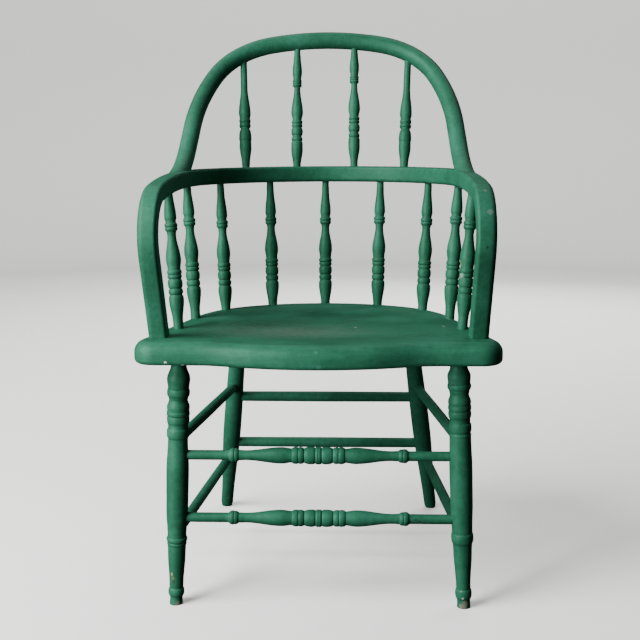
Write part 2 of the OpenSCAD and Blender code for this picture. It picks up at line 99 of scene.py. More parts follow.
class Side(Enum):
    """Which half of the chair a piece stands on, seen from the front."""

    LEFT = -1
    RIGHT = 1


class Slot(Enum):
    """The record's material slots."""

    SEAT = "seat_paint"
    BENT = "bent_paint"
    TURNED = "turned_paint"
    SCREW = "screw_steel"


class Part(Enum):
    """What is picked of a mesh, by Blender's own names."""

    POINTS = "VERT"
    EDGES = "EDGE"
    FACES = "FACE"


# Modelling


class Bench:
    """The few operator moves that every piece of the chair is made with."""

    @staticmethod
    def clear() -> None:
        """Leave nothing selected, so that an operator acts on its own piece only."""
        if bpy.context.mode != "OBJECT":
            bpy.ops.object.mode_set(mode="OBJECT")
        for obj in bpy.data.objects:
            obj.select_set(False)

    @staticmethod
    def hold(obj: bpy.types.Object) -> None:
        """Select one object alone and make it active.

        Args:
            obj: the object to work on.
        """
        Bench.clear()
        obj.select_set(True)
        bpy.context.view_layer.objects.active = obj

    @staticmethod
    def bake() -> None:
        """Put the active object's place, turn and scale into its mesh."""
        bpy.ops.object.transform_apply(location=True, rotation=True, scale=True)

    @staticmethod
    def edit() -> None:
        """Go into edit mode with the whole mesh selected."""
        bpy.ops.object.mode_set(mode="EDIT")
        bpy.ops.mesh.select_all(action="SELECT")

    @staticmethod
    def point(name: str, place: Vector) -> bpy.types.Object:
        """Start a piece from a single selected vertex, and stay in edit mode.

        Args:
            name: the piece's name.
            place: where the vertex lies, in metres.

        Returns:
            The new object.
        """
        Bench.clear()
        bpy.ops.mesh.primitive_plane_add(size=0.01, location=place)
        obj = bpy.context.active_object
        obj.name = obj.data.name = name
        Bench.bake()
        Bench.edit()
        bpy.ops.mesh.select_mode(type="VERT")
        bpy.ops.mesh.merge(type="CENTER")
        return obj

    @staticmethod
    def pull(step: Vector) -> None:
        """Extrude what is selected by a straight step.

        Args:
            step: the move, in metres.
        """
        bpy.ops.mesh.extrude_region_move(TRANSFORM_OT_translate={"value": tuple(step)})

    @staticmethod
    def swing(steps: int, angle: float, center: Vector, axis: Vector) -> None:
        """Extrude what is selected round an axis, right-handed.

        The spin operator itself turns left-handed, so the angle is passed negated.

        Args:
            steps: how many rings to add.
            angle: the whole turn, in radians.
            center: a point of the axis, in metres.
            axis: the axis's direction.
        """
        bpy.ops.mesh.spin(steps=steps, angle=-angle, center=tuple(center), axis=tuple(axis))

    @staticmethod
    def pick(obj: bpy.types.Object, kind: Part, test: Callable[[Vector], bool]) -> None:
        """Select a mesh's points, edges or faces by their place.

        Args:
            obj: the object, in edit mode.
            kind: what to pick.
            test: says of a point's place whether it is wanted. An edge or a face is
                picked when all its points are wanted.
        """
        bpy.ops.mesh.select_mode(type=kind.value)
        bpy.ops.mesh.select_all(action="DESELECT")
        bpy.ops.object.mode_set(mode="OBJECT")
        mesh = obj.data
        wanted = {v.index for v in mesh.vertices if test(v.co)}
        if kind is Part.POINTS:
            for index in wanted:
                mesh.vertices[index].select = True
        else:
            for item in mesh.edges if kind is Part.EDGES else mesh.polygons:
                item.select = all(i in wanted for i in item.vertices)
        bpy.ops.object.mode_set(mode="EDIT")

    @staticmethod
    def cut_level(z: float) -> None:
        """Saw the piece in edit mode level at a height, and drop what is below.

        Args:
            z: the height in millimetres.
        """
        bpy.ops.mesh.select_all(action="SELECT")
        bpy.ops.mesh.bisect(
            plane_co=(0, 0, z * MM), plane_no=(0, 0, 1), use_fill=True, clear_inner=True
        )

    @staticmethod
    def clean(obj: bpy.types.Object, smooth_deg: float = 50.0) -> None:
        """Close seams, turn faces outwards, leave edit mode and shade smooth.

        Args:
            obj: the object to finish.
            smooth_deg: edges sharper than this stay sharp.
        """
        if bpy.context.mode != "EDIT_MESH":
            Bench.hold(obj)
        Bench.edit()
        bpy.ops.mesh.remove_doubles(threshold=0.2 * HAIR)
        bpy.ops.mesh.normals_make_consistent(inside=False)
        bpy.ops.object.mode_set(mode="OBJECT")
        Bench.hold(obj)
        bpy.ops.object.shade_smooth_by_angle(angle=math.radians(smooth_deg))

    @staticmethod
    def mirror(obj: bpy.types.Object) -> None:
        """Complete a half piece with its mirror image across X = 0.

        Args:
            obj: the half, open along X = 0.
        """
        Bench.hold(obj)
        mod = obj.modifiers.new("other half", "MIRROR")
        mod.use_axis = (True, False, False)
        mod.use_mirror_merge = True
        mod.merge_threshold = 2 * HAIR
        bpy.ops.object.modifier_apply(modifier=mod.name)

    @staticmethod
    def stand(
        obj: bpy.types.Object,
        low: Vector,
        high: Vector,
        turn_deg: float = 0.0,
        stretch: float = 1.0,
    ) -> None:
        """Stand a piece made on +Z along a line, and bake that into its mesh.

        Args:
            obj: the piece, made from the origin up.
            low: where its origin goes, in metres.
            high: the point that its +Z looks at.
            turn_deg: a turn about its own axis.
            stretch: how much longer than made it becomes.
        """
        Bench.hold(obj)
        aim = (high - low).to_track_quat("Z", "Y").to_matrix().to_4x4()
        obj.matrix_world = (
            Matrix.Translation(low)
            @ aim
            @ Matrix.Rotation(math.radians(turn_deg), 4, "Z")
            @ Matrix.Diagonal((1, 1, stretch, 1))
        )
        Bench.bake()

    @staticmethod
    def copy(obj: bpy.types.Object, name: str) -> bpy.types.Object:
        """A copy with a mesh of its own.

        Args:
            obj: the piece to copy.
            name: the copy's name.

        Returns:
            The copy.
        """
        twin = obj.copy()
        twin.data = obj.data.copy()
        twin.name = twin.data.name = name
        bpy.context.scene.collection.objects.link(twin)
        return twin

    @staticmethod
    def scrap(obj: bpy.types.Object) -> None:
        """Throw away a pattern that its copies stand for.

        Args:
            obj: the pattern.
        """
        bpy.data.objects.remove(obj, do_unlink=True)


@dataclass(frozen=True)
class Bend:
    """One stretch of a bent bar.

    ``radius`` is 0 on a straight stretch, whose length is ``reach``. Elsewhere
    ``reach`` is the angle, and ``side`` turns the bend about the bar, both in degrees.
    """

    radius: float
    reach: float
    side: float = 0.0

    @property
    def length(self) -> float:
        """The stretch's length in millimetres."""
        return self.reach if self.radius == 0 else self.radius * math.radians(self.reach)

    def travel(self, s: float) -> Matrix:
        """The rigid move along the stretch.

        Args:
            s: how far along, in millimetres.

        Returns:
            A 4 by 4 matrix in metres.
        """
        if self.radius == 0:
            return Matrix.Translation((0, 0, s * MM))
        angle = s / self.radius
        turn = Matrix.Rotation(math.radians(self.side), 4, "Z")
        step = Matrix.Translation(
            (self.radius * MM * (1 - math.cos(angle)), 0, self.radius * MM * math.sin(angle))
        )
        return turn @ step @ Matrix.Rotation(angle, 4, "Y") @ turn.inverted()


@dataclass(frozen=True)
class BentLine:
    """The centre line of half a bent bar, from X = 0 outwards."""

    start: Matrix
    bends: tuple[Bend, ...]

    @property
    def length(self) -> float:
        """The whole length in millimetres."""
        return sum(b.length for b in self.bends)

    def frame_at(self, s: float) -> Matrix:
        """The bar's own frame at a distance, with +Z along the bar.

        Args:
            s: the distance from the start, in millimetres.

        Returns:
            A 4 by 4 matrix in metres.
        """
        frame = self.start.copy()
        for index, bend in enumerate(self.bends):
            if s <= bend.length or index == len(self.bends) - 1:
                return frame @ bend.travel(s)
            frame = frame @ bend.travel(bend.length)
            s -= bend.length
        return frame

    def point(self, s: float) -> Vector:
        """A point of the line; a negative distance lies on the left.

        Args:
            s: the distance from the middle, in millimetres.

        Returns:
            The point in metres.
        """
        spot = self.frame_at(abs(s)).to_translation()
        return Vector((math.copysign(1, s) * spot.x if s else 0.0, spot.y, spot.z))


def bend_bar(line: BentLine, step: float = 9.0) -> None:
    """Draw a bar's selected ring along its bent line, in edit mode, and close its tip.

    Args:
        line: the line to follow, with the ring at its start.
        step: the distance between rings on a bend, in millimetres.
    """
    frame = line.start.copy()
    for bend in line.bends:
        if bend.radius == 0:
            Bench.pull(frame.to_3x3() @ Vector((0, 0, bend.length * MM)))
        else:
            turned = frame @ Matrix.Rotation(math.radians(bend.side), 4, "Z")
            center = turned @ Vector((bend.radius * MM, 0, 0))
            axis = turned.to_3x3() @ Vector((0, 1, 0))
            Bench.swing(
                max(1, round(bend.length / step)), math.radians(bend.reach), center, axis
            )
        frame = frame @ bend.travel(bend.length)
    bpy.ops.mesh.edge_face_add()


# Finishes


def linear(code: str) -> tuple[float, float, float, float]:
    """An sRGB hex colour as linear RGBA.

    Args:
        code: the colour, such as "#2f7a58".

    Returns:
        Linear red, green, blue and an alpha of 1.
    """
    parts = [int(code[i : i + 2], 16) / 255 for i in (1, 3, 5)]
    lin = [c / 12.92 if c <= 0.04045 else ((c + 0.055) / 1.055) ** 2.4 for c in parts]
    return (*lin, 1.0)


def per_mm(size: float) -> float:
    """The scale that gives a noise a feature size in millimetres on Object coordinates."""
    return 1.0 / (size * MM)


def add(
    tree: Tree, kind: str, links: dict | None = None, **settings: object
) -> bpy.types.Node:
    """Add a node with its settings and links.

    Args:
        tree: the tree to add to.
        kind: the node's type, such as "ShaderNodeTexNoise".
        links: input name or index to the output socket or value that goes into it.
        **settings: attributes of the node.

    Returns:
        The node.
    """
    node = tree.nodes.new(kind)
    for key, value in settings.items():
        setattr(node, key, value)
    for key, value in (links or {}).items():
        socket = node.inputs[key]
        if isinstance(value, bpy.types.NodeSocket):
            tree.links.new(value, socket)
        else:
            socket.default_value = value
    return node


@dataclass(frozen=True)
class Mark:
    """A chip, scuff or stain in the paint, or a dark spot of painted shade, at a place that the
    photo shows.

    ``center`` is its middle and ``reach`` its radius, in millimetres.
    """

    center: tuple[float, float, float]
    reach: float
    tint: Tint


@dataclass(frozen=True)
class OldPaint:
    """Green alkyd paint brushed by hand over bent or turned hardwood.

    It gives the eye a satin green that is slightly uneven in colour and gloss, with the
    faint streaks of the brush and the grain of the wood under it, rubbed greyish where
    it is used and chipped to the wood at the marks. Real grit in such paint is finer
    than 0.5 mm, and it is drawn three times as coarse so that it shows.

    ``strokes`` are the streaks' sizes along X, Y and Z, in millimetres as all sizes are.
    ``noises`` gives each pattern's size and its layers of detail, and ``shades`` how far
    a pattern shades the colour. Nearly all of a noise lies within ``span``. ``worn`` is
    how far the seat's middle is rubbed, round ``worn_center``.
    """

    name: str
    strokes: tuple[float, float, float]
    marks: tuple[Mark, ...] = ()
    greens: tuple[str, str, str] = ("#1a4c38", "#1f5640", "#275f4a")
    green_stops: tuple[float, float, float] = (0.34, 0.52, 0.7)
    rubbed: str = "#5d6f62"
    sheen: str = "#a9e6cb"
    noises: tuple[tuple[str, float, float], ...] = (
        ("mottle", 80.0, 4.0),
        ("cloud", 9.0, 3.0),
        ("grit", 1.6, 2.0),
    )
    shades: tuple[tuple[str, float], ...] = (("cloud", 0.1), ("streak", 0.1), ("grit", 0.13))
    span: tuple[float, float] = (0.3, 0.7)
    fineness: float = 0.58
    streak_detail: float = 3.0
    relief: float = 0.2
    relief_mm: float = 0.8
    relief_grit: float = 0.3
    roughness: tuple[float, float] = (0.47, 0.59)
    gloss: float = 0.32
    ior: float = 1.48
    worn: float = 0.0
    worn_center: tuple[float, float, float] = (-45.0, -115.0, 408.0)
    worn_reach: tuple[float, float, float] = (130.0, 75.0, 40.0)
    worn_ragged: float = 1.4
    worn_edge: tuple[float, float] = (0.9, 1.9)
    jag_mm: float = 6.0
    jag_grain_mm: float = 4.0
    jag_detail: float = 3.0
    mark_core: float = 0.6

    def patterns(self, tree: Tree, place: Socket) -> dict[str, Socket]:
        """The paint's clouds, grit and brush streaks.

        Args:
            tree: the material's nodes.
            place: the coordinates.

        Returns:
            Each pattern's strength by its name.
        """
        found = {}
        for name, size, detail in self.noises:
            links = {"Vector": place, "Scale": per_mm(size), "Detail": detail}
            links["Roughness"] = self.fineness
            found[name] = add(tree, "ShaderNodeTexNoise", links).outputs["Fac"]
        links = {"Vector": place, "Scale": tuple(per_mm(size) for size in self.strokes)}
        drawn = add(tree, "ShaderNodeMapping", links).outputs["Vector"]
        links = {"Vector": drawn, "Scale": 1.0, "Detail": self.streak_detail}
        found["streak"] = add(tree, "ShaderNodeTexNoise", links).outputs["Fac"]
        return found

    def brush(self, tree: Tree, found: dict[str, Socket]) -> Socket:
        """The clean paint: three greens in wide clouds, shaded by the finer patterns.

        Args:
            tree: the material's nodes.
            found: the patterns.

        Returns:
            The colour's socket.
        """
        band = add(tree, "ShaderNodeValToRGB", {"Fac": found["mottle"]})
        stops = band.color_ramp.elements
        stops.new(1.0)
        for stop, position, code in zip(stops, self.green_stops, self.greens):
            stop.position, stop.color = position, linear(code)
        colour = band.outputs["Color"]
        low, high = self.span
        for name, reach in self.shades:
            links = {"Value": found[name], "From Min": low, "From Max": high}
            links |= {"To Min": 1.0 - reach, "To Max": 1.0 + reach}
            shade = add(tree, "ShaderNodeMapRange", links).outputs["Result"]
            links = {MIX_SHARE: 1.0, MIX_A: colour, MIX_B: shade}
            mixed = add(tree, "ShaderNodeMix", links, data_type="RGBA", blend_type="MULTIPLY")
            colour = mixed.outputs[MIX_OUT]
        return colour

    def rub(self, tree: Tree, place: Socket, cloud: Socket, colour: Socket) -> Socket:
        """Rub the seat's middle: a soft grey patch with a ragged edge.

        Args:
            tree: the material's nodes.
            place: the coordinates.
            cloud: the noise that makes the edge ragged.
            colour: the colour so far.

        Returns:
            The colour's socket.
        """
        pairs = list(zip(self.worn_center, self.worn_reach))
        links = {"Vector": place, "Location": tuple(-c / r for c, r in pairs)}
        links["Scale"] = tuple(per_mm(r) for _, r in pairs)
        near = add(tree, "ShaderNodeMapping", links).outputs["Vector"]
        away = add(tree, "ShaderNodeVectorMath", {0: near}, operation="LENGTH").outputs["Value"]
        links = {0: cloud, 1: self.worn_ragged, 2: away}
        ragged = add(tree, "ShaderNodeMath", links, operation="MULTIPLY_ADD").outputs[0]
        inside, outside = self.worn_edge
        links = {"Value": ragged, "From Min": inside, "From Max": outside}
        links |= {"To Min": self.worn, "To Max": 0.0}
        share = add(tree, "ShaderNodeMapRange", links).outputs["Result"]
        links = {MIX_SHARE: share, MIX_A: colour, MIX_B: linear(self.rubbed)}
        return add(tree, "ShaderNodeMix", links, data_type="RGBA").outputs[MIX_OUT]

    def mark(self, tree: Tree, place: Socket, colour: Socket) -> Socket:
        """Put the marks on the colour, each with a jagged outline.

        Args:
            tree: the material's nodes.
            place: the coordinates.
            colour: the colour so far.

        Returns:
            The colour's socket.
        """
        jag = self.jag_mm * MM
        links = {"Vector": place, "Scale": per_mm(self.jag_grain_mm)}
        links |= {"Detail": self.jag_detail, "Roughness": self.fineness}
        grain = add(tree, "ShaderNodeTexNoise", links).outputs["Color"]
        links = {0: grain, 1: (jag, jag, jag), 2: place}
        jagged = add(tree, "ShaderNodeVectorMath", links, operation="MULTIPLY_ADD").outputs[0]
        for mark in self.marks:
            links = {0: jagged, 1: tuple(c * MM + jag / 2 for c in mark.center)}
            away = add(tree, "ShaderNodeVectorMath", links, operation="DISTANCE")
            reach = mark.reach * MM
            links = {"Value": away.outputs["Value"], "From Max": reach}
            links |= {"From Min": reach * self.mark_core, "To Min": 1.0, "To Max": 0.0}
            share = add(tree, "ShaderNodeMapRange", links).outputs["Result"]
            links = {MIX_SHARE: share, MIX_A: colour, MIX_B: linear(mark.tint.value)}
            colour = add(tree, "ShaderNodeMix", links, data_type="RGBA").outputs[MIX_OUT]
        return colour

    def build(self) -> bpy.types.Material:
        """The material, with all its patterns on Object coordinates.

        Returns:
            The new material.
        """
        mat = bpy.data.materials.new(self.name)
        mat.use_nodes = True
        tree = mat.node_tree
        tree.nodes.clear()
        place = add(tree, "ShaderNodeTexCoord").outputs["Object"]
        found = self.patterns(tree, place)
        colour = self.brush(tree, found)
        if self.worn:
            colour = self.rub(tree, place, found["cloud"], colour)
        if self.marks:
            colour = self.mark(tree, place, colour)
        (low, high), (satin, dull) = self.span, self.roughness
        links = {"Value": found["cloud"], "From Min": low, "From Max": high}
        links |= {"To Min": satin, "To Max": dull}
        rough = add(tree, "ShaderNodeMapRange", links).outputs["Result"]
        links = {0: found["grit"], 1: self.relief_grit, 2: found["streak"]}
        height = add(tree, "ShaderNodeMath", links, operation="MULTIPLY_ADD").outputs[0]
        links = {"Height": height, "Strength": self.relief, "Distance": self.relief_mm * MM}
        links = {
            "Base Color": colour,
            "Roughness": rough,
            "Normal": add(tree, "ShaderNodeBump", links).outputs["Normal"],
            "IOR": self.ior,
            "Specular IOR Level": self.gloss,
            "Specular Tint": linear(self.sheen),
        }
        shader = add(tree, "ShaderNodeBsdfPrincipled", links)
        add(tree, "ShaderNodeOutputMaterial", {"Surface": shader.outputs["BSDF"]})
        return mat


SEAT_MARKS = (
    Mark((-132.8, -52.3, 410.8), 3.2, Tint.DIRT),
    Mark((214.8, -191.7, 413.0), 4.2, Tint.DIRT),
    Mark((54.0, -72.0, 406.8), 2.3, Tint.DUST),
    Mark((189.0, -95.0, 412.9), 2.3, Tint.DUST),
    Mark((204.0, -31.0, 413.0), 2.2, Tint.DUST),
    Mark((-215.8, -231.6, 384.8), 2.4, Tint.SPLASH),
    Mark((-192.2, -228.5, 379.6), 2.4, Tint.DUST),
    Mark((0.0, -258.3, 405.6), 2.8, Tint.SCUFF),
    Mark((3.8, -261.6, 384.0), 4.6, Tint.SCUFF),
    Mark((-30.0, -261.0, 380.5), 4.0, Tint.SCUFF),
    Mark((224.0, -205.0, 412.0), 4.5, Tint.SCUFF),
)

BENT_MARKS = (
    Mark((226.6, -98.0, 644.0), 5.0, Tint.RUBBED),
    Mark((229.0, -112.0, 648.0), 4.0, Tint.RUBBED),
    Mark((240.5, -229.0, 598.0), 5.0, Tint.RUBBED),
    Mark((236.0, -201.0, 627.0), 3.5, Tint.RUBBED),
    Mark((236.5, -240.0, 551.0), 2.6, Tint.DIRT),
)

TURNED_MARKS = (
    Mark((-222.6, -198.0, 50.0), 2.8, Tint.FRESH_WOOD),
    Mark((-221.2, -199.0, 44.0), 3.6, Tint.BARE_WOOD),
    Mark((-220.6, -199.5, 38.0), 3.0, Tint.GREY_WOOD),
    Mark((-214.0, -198.0, 3.0), 5.0, Tint.UNDERCOAT),
    Mark((216.0, -199.0, 2.0), 8.0, Tint.UNDERCOAT),
    Mark((220.5, -200.0, 9.0), 6.0, Tint.UNDERCOAT),
    Mark((215.4, -200.5, 17.5), 2.4, Tint.PALE_UNDERCOAT),
    Mark((212.0, -107.0, 511.0), 5.0, Tint.THIN_PAINT),
    Mark((213.5, -113.0, 494.0), 4.5, Tint.CHALKED),
    Mark((144.2, -193.8, 139.0), 2.2, Tint.DIRT),
    Mark((150.0, -193.8, 136.0), 1.8, Tint.DIRT),
    Mark((213.0, -200.0, 30.0), 3.0, Tint.UNDERCOAT),
    Mark((-190.5, 231.5, 21.5), 3.8, Tint.PUTTY),
    # Painted shade with some dirt: these two darken the lower spindles just above the seat,
    # where they meet it.
    Mark((-227.0, -20.0, 416.0), 5.0, Tint.DIRT),
    Mark((227.0, -20.0, 416.0), 4.0, Tint.DIRT),
)


@dataclass(frozen=True)
class ScrewSteel:
    """Mild steel wire, dulled: a plain grey metal with a fine turned sheen."""

    name: str = "dull_steel_screw"
    tint: str = "#8e9092"
    grain_mm: float = 1.5
    roughness: tuple[float, float] = (0.32, 0.5)

    def build(self) -> bpy.types.Material:
        """The material.

        Returns:
            The new material.
        """
        mat = bpy.data.materials.new(self.name)
        mat.use_nodes = True
        tree = mat.node_tree
        shader = tree.nodes["Principled BSDF"]
        place = add(tree, "ShaderNodeTexCoord").outputs["Object"]
        links = {"Vector": place, "Scale": per_mm(self.grain_mm)}
        dull = add(tree, "ShaderNodeTexNoise", links).outputs["Fac"]
        low, high = self.roughness
        links = {"Value": dull, "To Min": low, "To Max": high}
        rough = add(tree, "ShaderNodeMapRange", links).outputs["Result"]
        tree.links.new(rough, shader.inputs["Roughness"])
        shader.inputs["Base Color"].default_value = linear(self.tint)
        shader.inputs["Metallic"].default_value = 1.0
        return mat


@dataclass(frozen=True)
class StudioPaper:
    """Matt white background paper, evenly lit from behind so that it stays pale."""

    name: str = "studio_paper"
    tint: str = "#f4f3f0"
    roughness: float = 0.95
    glow: float = 0.22

    def build(self) -> bpy.types.Material:
        """The material.

        Returns:
            The new material.
        """
        mat = bpy.data.materials.new(self.name)
        mat.use_nodes = True
        shader = mat.node_tree.nodes["Principled BSDF"]
        shader.inputs["Base Color"].default_value = linear(self.tint)
        shader.inputs["Roughness"].default_value = self.roughness
        shader.inputs["Emission Color"].default_value = linear(self.tint)
        shader.inputs["Emission Strength"].default_value = self.glow
        return mat


# Layout


@dataclass(frozen=True)
class Layout:
    """Where the pieces meet, in millimetres.

    ``front_y`` is the seat's front edge, and every other y is measured back from it.
    The bends go outwards from the middle of the back: the rail's round its back and its
    shoulder; the bow's over its crown and its corner, down its flank, and by a reverse
    sweep onto the arm; and the spindles' line round the back of the seat.
    """

    front_y: float = -261.825
    seat_top: float = 413.0
    seat_under: float = 379.0
    rail_y: float = 431.0
    rail_z: float = 635.0
    rail_bends: tuple[Bend, ...] = (Bend(235.0, 47.8), Bend(176.0, 32.8))
    forearm: float = 176.0
    forearm_in_r: float = 1400.0
    forearm_down_r: float = 1200.0
    elbow_r: float = 65.0
    post_lean: float = 19.0
    post_sunk: float = 12.0
    crown_y: float = 479.0
    crown_z: float = 864.5
    bow_lean: float = 44.0
    bow_bends: tuple[Bend, ...] = (
        Bend(395.0, 14.0),
        Bend(137.0, 52.0),
        Bend(340.0, 20.0),
        Bend(0.0, 52.0),
        Bend(150.0, 30.0, -90.0),
        Bend(0.0, 80.0),
    )
    spindle_y: float = 398.0
    spindle_bends: tuple[Bend, ...] = (
        Bend(220.0, 47.8),
        Bend(165.0, 32.8),
        Bend(1400.0, 10.0),
    )
    front_foot: tuple[float, float] = (218.5, 73.0)
    front_top: tuple[float, float] = (205.0, 79.0)
    rear_foot: tuple[float, float] = (195.5, 513.0)
    rear_top: tuple[float, float] = (144.0, 328.0)

    def leg_point(self, front: bool, side: Side, z: float) -> Vector:
        """A point of a leg's centre line.

        Args:
            front: whether it is a front leg.
            side: which side it stands on.
            z: the height in millimetres.

        Returns:
            The point in metres.
        """
        foot = self.front_foot if front else self.rear_foot
        top = self.front_top if front else self.rear_top
        t = z / self.seat_under
        x = foot[0] + (top[0] - foot[0]) * t
        y = foot[1] + (top[1] - foot[1]) * t
        return Vector((side.value * x, self.front_y + y, z)) * MM

    def back_middle(self, y: float, z: float, lean_deg: float = 90.0) -> Matrix:
        """The frame that a bent line starts from at the middle of the chair's back.

        Args:
            y: how far it lies behind the seat's front edge.
            z: its height.
            lean_deg: how far its bends lean back from upright, and 90 is level.

        Returns:
            The frame in metres. Its +Z runs to the right along the line, and its +X
            towards the centre of the first bend.
        """
        lean = math.radians(lean_deg)
        right = Vector((0, -math.sin(lean), -math.cos(lean)))
        up = Vector((0, math.cos(lean), -math.sin(lean)))
        along = Vector((1, 0, 0))
        rows = [[right[i], up[i], along[i]] for i in range(3)]
        place = Vector((0, self.front_y + y, z)) * MM
        return Matrix.Translation(place) @ Matrix(rows).to_4x4()

    def rail_line(self) -> BentLine:
        """The arm rail's centre line, from the middle of the back to below the seat's top."""
        both_r = 1 / math.hypot(1 / self.forearm_in_r, 1 / self.forearm_down_r)
        side = math.degrees(math.atan2(self.forearm_in_r, self.forearm_down_r))
        droop = math.degrees(self.forearm / self.forearm_down_r)
        start = self.back_middle(self.rail_y, self.rail_z)
        bends = self.rail_bends + (
            Bend(both_r, math.degrees(self.forearm / both_r), side),
            Bend(self.elbow_r, 90 + self.post_lean - droop, 90.0),
        )
        bent = BentLine(start, bends)
        end = bent.frame_at(bent.length)
        fall = -end.to_3x3().col[2].z
        post = (end.to_translation().z / MM - self.seat_top) / fall
        return BentLine(start, bends + (Bend(0.0, post + self.post_sunk),))

    def bow_line(self) -> BentLine:
        """The back bow's centre line, from the crown to the tip on the arm."""
        return BentLine(
            self.back_middle(self.crown_y, self.crown_z, self.bow_lean), self.bow_bends
        )

    def spindle_line(self) -> BentLine:
        """The line on the seat that the lower spindles stand on."""
        return BentLine(self.back_middle(self.spindle_y, self.seat_top), self.spindle_bends)


# Pieces


@dataclass(frozen=True)
class Ring:
    """One row of a turned outline.

    ``length`` is its run along the axis and ``width`` the diameter at its end. A
    ``bead`` swells it by that much at its middle, and 0 is a smooth sweep. A ``full``
    sweep bulges outwards like a shoulder.
    """

    length: float
    width: float
    bead: float = 0.0
    full: bool = False

    def diameter(self, start: float, t: float) -> float:
        """The diameter part of the way along the row.

        Args:
            start: the diameter at the row's start.
            t: how far along, from 0 to 1.

        Returns:
            The diameter in millimetres.
        """
        step = self.width - start
        if self.bead:
            return start + step * t + self.bead * math.sqrt(max(0.0, 1 - (2 * t - 1) ** 2))
        if self.full:
            bulge = math.sqrt(1 - (1 - t) ** 2) if step > 0 else 1 - math.sqrt(1 - t * t)
            return start + step * bulge
        return start + step * (1 - math.cos(math.pi * t)) / 2


@dataclass
class Turning:
    """A piece turned on a lathe, with its axis on +Z and its first row at the origin.

    ``first`` is the diameter that the first row starts from. ``lead`` and ``tail`` are
    the lengths of the plain tenons beyond the two ends. A sweep has a step for each
    ``sweep_run`` millimetres, from ``sweep_steps`` to ``bead_steps`` in all.
    """

    name: str
    first: float
    rings: tuple[Ring, ...]
    lead: float = 0.0
    tail: float = 0.0
    sides: int = 40
    bead_steps: int = 12
    shoulder_steps: int = 8
    sweep_steps: int = 4
    sweep_run: float = 4.0

    @property
    def length(self) -> float:
        """The length between the tenons, in millimetres."""
        return sum(r.length for r in self.rings)

    def steps(self, ring: Ring) -> int:
        """How many straight steps draw a row of the outline.

        Args:
            ring: the row.

        Returns:
            The number of steps.
        """
        if ring.bead:
            return self.bead_steps
        if ring.full:
            return self.shoulder_steps
        steps = round(ring.length / self.sweep_run)
        return max(self.sweep_steps, min(self.bead_steps, steps))

    def profile(self) -> list[tuple[float, float]]:
        """The outline from low to high.

        Returns:
            Radius and height pairs in metres.
        """
        pts = [(0.0, -self.lead), (self.first / 2, -self.lead)]
        if self.lead:
            pts.append((self.first / 2, 0.0))
        z, wide = 0.0, self.first
        for ring in self.rings:
            count = self.steps(ring)
            for n in range(1, count + 1):
                t = (1 - math.cos(math.pi * n / count)) / 2 if ring.bead else n / count
                pts.append((ring.diameter(wide, t) / 2, z + ring.length * t))
            z += ring.length
            wide = ring.width
        if self.tail:
            pts.append((wide / 2, z + self.tail))
        pts.append((0.0, z + self.tail))
        return [(r * MM, h * MM) for r, h in pts]

    def make(self) -> bpy.types.Object:
        """Turn the piece.

        Returns:
            The finished mesh object.
        """
        pts = self.profile()
        obj = Bench.point(self.name, Vector((pts[0][0], 0, pts[0][1])))
        for a, b in zip(pts, pts[1:]):
            Bench.pull(Vector((b[0] - a[0], 0, b[1] - a[1])))
        bpy.ops.mesh.select_all(action="SELECT")
        Bench.swing(self.sides, 2 * math.pi, Vector((0, 0, 0)), Vector((0, 0, 1)))
        Bench.clean(obj)
        return obj


@dataclass
class Dresser:
    """Gives each finished piece its body, its nodes and its material."""

    paints: dict[Slot, bpy.types.Material]

    def coat(self, obj: bpy.types.Object, slot: Slot) -> None:
        """Give an object its material and no other.

        Args:
            obj: the object.
            slot: the material slot that it takes.
        """
        obj.data.materials.clear()
        obj.data.materials.append(self.paints[slot])

    def dress(self, obj: bpy.types.Object, slot: Slot, *nodes: str) -> None:
        """Finish a piece.

        Args:
            obj: the piece, at its place.
            slot: the material slot that it takes.
            *nodes: the CAD nodes that it stands for.
        """
        self.coat(obj, slot)
        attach(obj, BODY)
        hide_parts(*nodes)
        LOG.info("%s: %d faces for %s", obj.name, len(obj.data.polygons), ", ".join(nodes))


